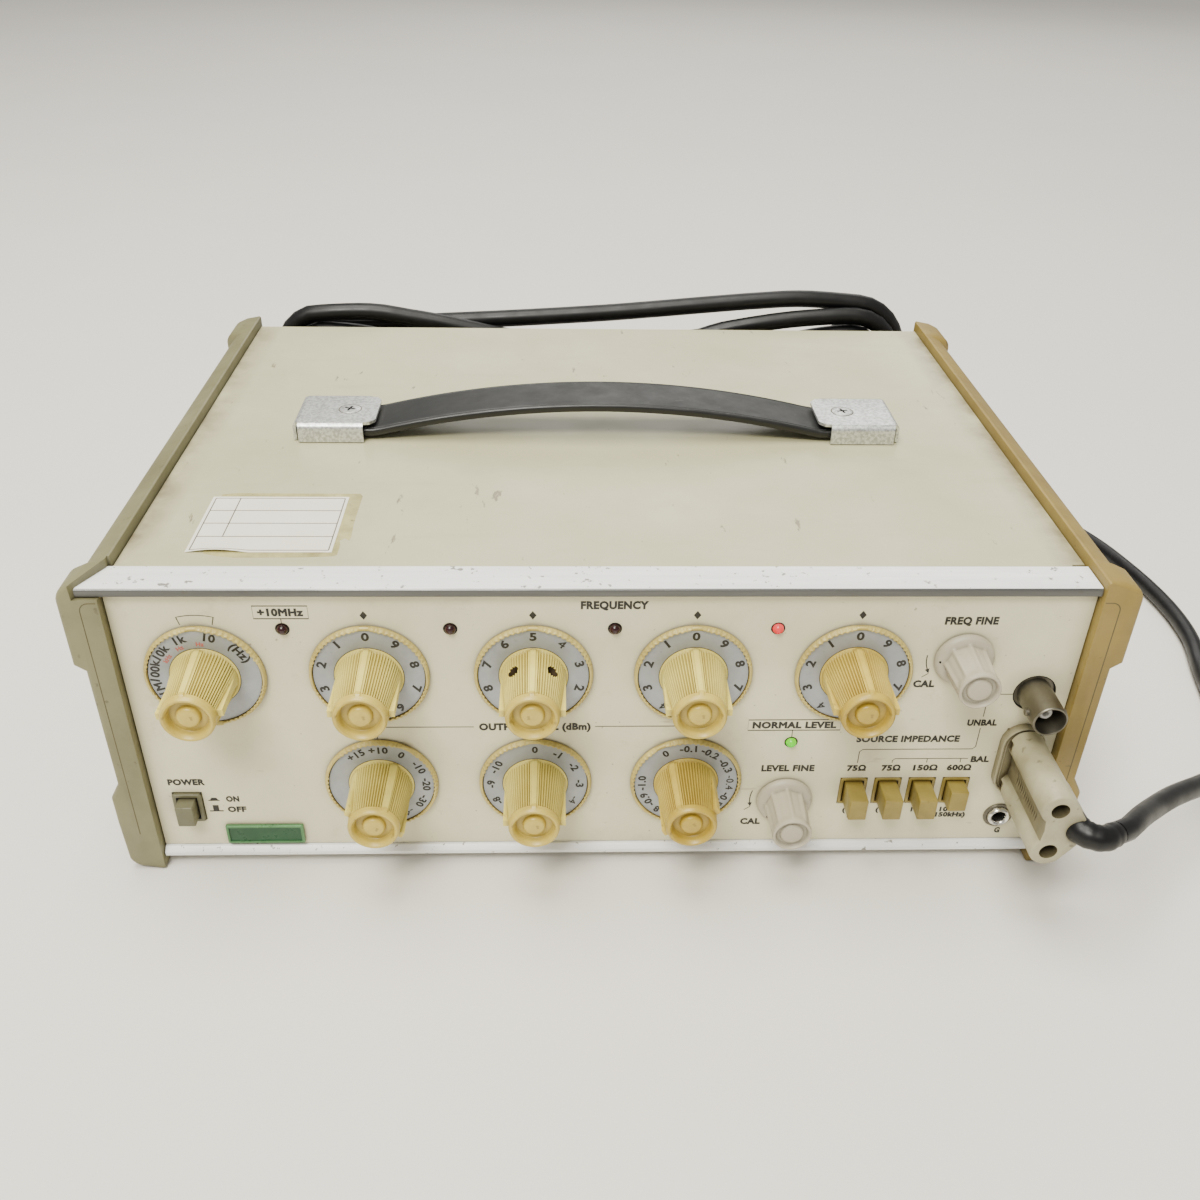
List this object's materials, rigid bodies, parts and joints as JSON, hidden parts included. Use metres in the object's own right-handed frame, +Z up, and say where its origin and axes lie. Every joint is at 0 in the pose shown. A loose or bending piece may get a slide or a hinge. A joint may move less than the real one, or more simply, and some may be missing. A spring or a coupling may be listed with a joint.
{
  "type": "function generator",
  "caption": "Bench signal generator: metal cabinet with decade dials, fine knobs, impedance push buttons, output sockets, a carrying strap and its wound mains and test leads.",
  "frame": {"origin": "centre of the base of the bounding box, leads left out, on the surface it stands on", "axes": "+X to the right seen from the front, +Y from the front panel to the back, +Z up"},
  "size_m": [0.3814, 0.368, 0.1109],
  "materials": {
    "case_left": "satin paint, worn edges",
    "case_right": "satin paint, yellowed",
    "cover": "semi-gloss paint, scuffed",
    "panel": "satin paint, yellowed",
    "trim": "brushed anodised",
    "zinc": "zinc plated",
    "steel": "plain",
    "nickel": "tarnished nickel plate",
    "knob": "moulded, yellowed",
    "small_knob": "moulded",
    "button": "moulded",
    "power_button": "moulded",
    "grey_plastic": "moulded",
    "black_plastic": "moulded",
    "strap": "grained soft vinyl",
    "rubber": "soft vinyl",
    "badge": "enamel in recessed field",
    "board": "solder mask",
    "laminate": "phenolic laminate"
  },
  "bodies": {
    "cabinet": {"side_frame_left": "case_left", "side_frame_right": "case_right", "front_panel": "panel", "top_trim": "trim", "bottom_trim": "trim", "top_cover": "cover", "bottom_cover": "cover", "rear_panel": "cover", "badge": "badge", "handle_strap": "strap", "handle_bracket_left": "zinc", "handle_bracket_right": "zinc", "bnc_jack": "nickel", "balanced_socket": "grey_plastic", "ground_jack": "nickel", "power_switch": "black_plastic", "impedance_switch_bank": "black_plastic", "led_board": "laminate", "frequency_switch_board": "laminate", "level_switch_board": "laminate", "freq_fine_pot": "zinc", "level_fine_pot": "zinc", "main_board": "board", "power_transformer": "steel", "cord_bracket_left": "black_plastic", "cord_bracket_right": "black_plastic", "strain_relief": "rubber", "mains_winding": "rubber", "mains_lead_exit": "rubber", "mains_lead_tail": "rubber", "mains_plug": "rubber", "test_plug": "grey_plastic", "test_lead": "rubber", "test_lead_coil": "rubber", "test_connector": "grey_plastic"},
    "dial_range": {"knob_range": "knob", "shaft_range": "steel"},
    "dial_freq_1": {"knob_freq_1": "knob", "shaft_freq_1": "steel"},
    "dial_freq_2": {"knob_freq_2": "knob", "shaft_freq_2": "steel"},
    "dial_freq_3": {"knob_freq_3": "knob", "shaft_freq_3": "steel"},
    "dial_freq_4": {"knob_freq_4": "knob", "shaft_freq_4": "steel"},
    "dial_level_1": {"knob_level_1": "knob", "shaft_level_1": "steel"},
    "dial_level_2": {"knob_level_2": "knob", "shaft_level_2": "steel"},
    "dial_level_3": {"knob_level_3": "knob", "shaft_level_3": "steel"},
    "dial_freq_fine": {"knob_freq_fine": "small_knob", "shaft_freq_fine": "steel"},
    "dial_level_fine": {"knob_level_fine": "small_knob", "shaft_level_fine": "steel"},
    "impedance_key_1": {"impedance_button_1": "button"},
    "impedance_key_2": {"impedance_button_2": "button"},
    "impedance_key_3": {"impedance_button_3": "button"},
    "impedance_key_4": {"impedance_button_4": "button"},
    "power_key": {"power_button": "power_button"}
  },
  "joints": [
    {"name": "range_turn", "type": "hinge", "parent": "cabinet", "child": "dial_range", "pos_m": [-0.1084, -0.0984, 0.0701], "axis": [0, 1, 0], "range_deg": [0, 90]},
    {"name": "freq_1_turn", "type": "hinge", "parent": "cabinet", "child": "dial_freq_1", "pos_m": [-0.0643, -0.0984, 0.0701], "axis": [0, 1, 0], "range_deg": [0, 324]},
    {"name": "freq_2_turn", "type": "hinge", "parent": "cabinet", "child": "dial_freq_2", "pos_m": [-0.0197, -0.0984, 0.0701], "axis": [0, 1, 0], "range_deg": [-180, 144]},
    {"name": "freq_3_turn", "type": "hinge", "parent": "cabinet", "child": "dial_freq_3", "pos_m": [0.0241, -0.0984, 0.0701], "axis": [0, 1, 0], "range_deg": [0, 324]},
    {"name": "freq_4_turn", "type": "hinge", "parent": "cabinet", "child": "dial_freq_4", "pos_m": [0.0685, -0.0984, 0.0701], "axis": [0, 1, 0], "range_deg": [0, 324]},
    {"name": "level_1_turn", "type": "hinge", "parent": "cabinet", "child": "dial_level_1", "pos_m": [-0.0642, -0.0984, 0.031], "axis": [0, 1, 0], "range_deg": [-240, 30]},
    {"name": "level_2_turn", "type": "hinge", "parent": "cabinet", "child": "dial_level_2", "pos_m": [-0.0197, -0.0984, 0.031], "axis": [0, 1, 0], "range_deg": [-300, 0]},
    {"name": "level_3_turn", "type": "hinge", "parent": "cabinet", "child": "dial_level_3", "pos_m": [0.0243, -0.0984, 0.031], "axis": [0, 1, 0], "range_deg": [-270, 30]},
    {"name": "freq_fine_turn", "type": "hinge", "parent": "cabinet", "child": "dial_freq_fine", "pos_m": [0.0984, -0.0984, 0.0752], "axis": [0, 1, 0], "range_deg": [-48, 232]},
    {"name": "level_fine_turn", "type": "hinge", "parent": "cabinet", "child": "dial_level_fine", "pos_m": [0.0541, -0.0984, 0.0235], "axis": [0, 1, 0], "range_deg": [0, 280]},
    {"name": "impedance_1_press", "type": "slide", "parent": "cabinet", "child": "impedance_key_1", "axis": [0, 1, 0], "range_m": [0, 0.0034]},
    {"name": "impedance_2_press", "type": "slide", "parent": "cabinet", "child": "impedance_key_2", "axis": [0, 1, 0], "range_m": [0, 0.0034]},
    {"name": "impedance_3_press", "type": "slide", "parent": "cabinet", "child": "impedance_key_3", "axis": [0, 1, 0], "range_m": [0, 0.0034]},
    {"name": "impedance_4_press", "type": "slide", "parent": "cabinet", "child": "impedance_key_4", "axis": [0, 1, 0], "range_m": [-0.0034, 0]},
    {"name": "power_press", "type": "slide", "parent": "cabinet", "child": "power_key", "axis": [0, 1, 0], "range_m": [-0.0035, 0]}
  ]
}
